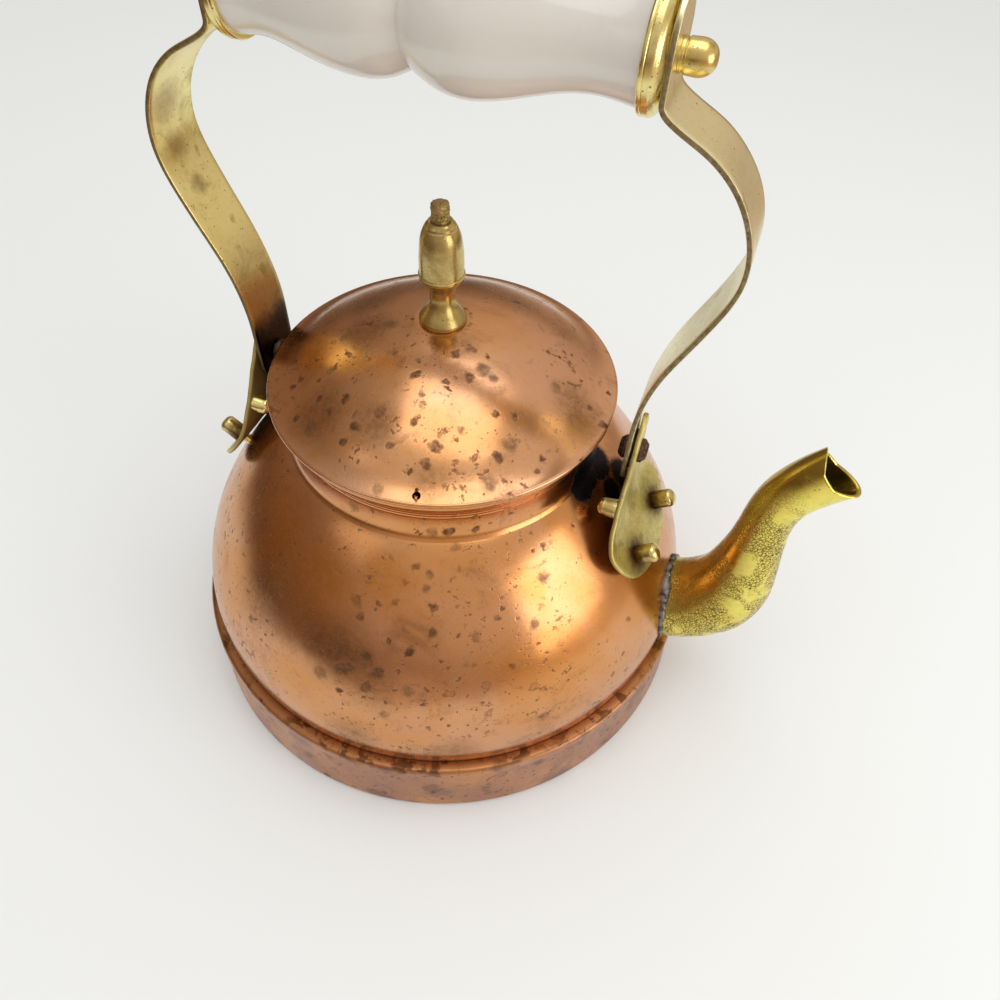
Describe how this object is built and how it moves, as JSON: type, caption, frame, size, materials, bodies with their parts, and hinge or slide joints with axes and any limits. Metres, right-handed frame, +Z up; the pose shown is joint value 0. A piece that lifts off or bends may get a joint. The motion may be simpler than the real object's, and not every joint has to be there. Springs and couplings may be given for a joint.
{
  "type": "tea kettle",
  "caption": "Wide copper kettle with a swan-neck brass spout, a lift-off domed lid with a finial, and a swinging overhead handle.",
  "frame": {"origin": "centre of the flat base, on the surface that the kettle stands on", "axes": "+Z up, +X from the kettle's axis towards the spout, which is also the direction of the handle's hinge"},
  "size_m": [0.2153, 0.1818, 0.2271],
  "materials": {
    "copper": "worn, polished copper with brown tarnish spots",
    "tinned_copper": "dull copper, brushed",
    "brass": "aged yellow brass",
    "brass_dark": "brass with dark brown patina",
    "steel_dark": "dark brown, rough",
    "solder": "grey solder with flux stains",
    "porcelain": "white glazed porcelain"
  },
  "bodies": {
    "kettle": {"base_pan": "copper", "body_shell": "copper", "neck_collar": "copper", "spout_shell": "brass", "spout_solder": "solder", "bracket_plate_spout_side": "brass", "bracket_plate_back": "brass", "bracket_bolts_spout_side": "brass", "bracket_bolts_back": "brass", "bracket_nuts_spout_side": "brass", "bracket_nuts_back": "brass", "bracket_peg_spout_side": "brass", "bracket_peg_back": "brass", "pivot_rivet_spout_side": "steel_dark", "pivot_rivet_back": "steel_dark"},
    "lid": {"lid_shell": "copper", "lid_flange": "tinned_copper", "finial_pedestal": "brass_dark", "finial_acorn": "brass_dark", "finial_stud": "brass_dark", "finial_washer": "brass", "finial_nut": "brass"},
    "handle": {"grip": "porcelain", "grip_rod": "steel_dark", "pivot_washer_spout_side": "steel_dark", "pivot_washer_back": "steel_dark", "handle_strap_spout_side": "brass", "handle_strap_back": "brass", "ferrule_spout_side": "brass", "ferrule_back": "brass", "dome_nut_spout_side": "brass", "dome_nut_back": "brass"}
  },
  "joints": [
    {"name": "lid_lift", "type": "slide", "parent": "kettle", "child": "lid", "axis": [0, 0, 1], "range_m": [0, 0.022]},
    {"name": "handle_swing", "type": "hinge", "parent": "kettle", "child": "handle", "pos_m": [0, 0, 0.106], "axis": [1, 0, 0], "range_deg": [-85, 85]}
  ]
}
